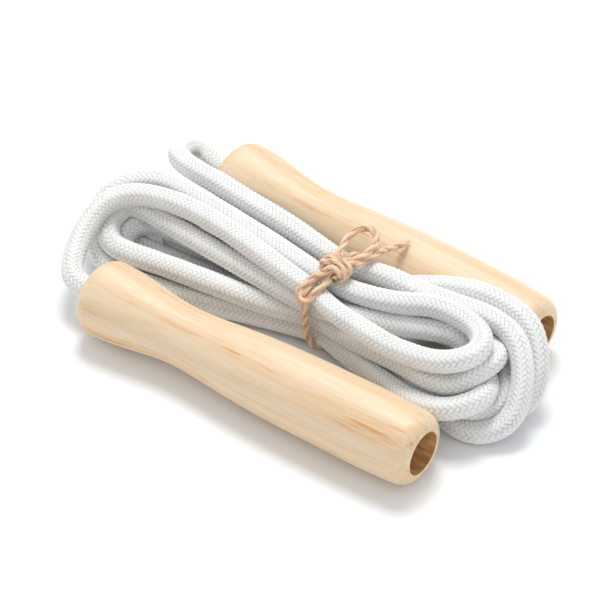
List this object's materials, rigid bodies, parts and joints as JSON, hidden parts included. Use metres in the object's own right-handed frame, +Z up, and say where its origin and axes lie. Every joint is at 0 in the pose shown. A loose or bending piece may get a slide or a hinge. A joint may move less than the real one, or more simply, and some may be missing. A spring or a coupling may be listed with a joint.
{
  "type": "jump rope",
  "caption": "Jump rope with turned wooden handles, its braided cotton rope wound in a hank between them and tied with jute twine.",
  "frame": {"origin": "on the floor under the middle of the two handles' box", "axes": "+X along the handles from their noses, where the rope leaves, to their open ends; +Y from the near handle to the far one; +Z up"},
  "size_m": [0.1808, 0.1076, 0.0411],
  "materials": {
    "wood": "pale birch under satin varnish",
    "cotton_rope": "white cotton, solid braid, matte",
    "jute_twine": "natural jute, two-ply, hairy"
  },
  "bodies": {
    "rope": {"rope_end_near": "cotton_rope", "rope_end_far": "cotton_rope", "rope_lead_near": "cotton_rope", "rope_lead_far": "cotton_rope", "rope_hank": "cotton_rope", "twine_wrap": "jute_twine", "twine_knot": "jute_twine", "twine_bow": "jute_twine", "twine_tail": "jute_twine"},
    "near_handle": {"handle_near": "wood"},
    "far_handle": {"handle_far": "wood"}
  },
  "joints": [
    {"name": "near_handle_spin", "type": "hinge", "parent": "rope", "child": "near_handle", "pos_m": [-0.0694, -0.04, 0.014], "axis": [0.9995, 0.0314, 0], "continuous": true},
    {"name": "far_handle_spin", "type": "hinge", "parent": "rope", "child": "far_handle", "pos_m": [-0.0706, 0.04, 0.014], "axis": [0.9995, -0.0314, 0], "continuous": true}
  ]
}
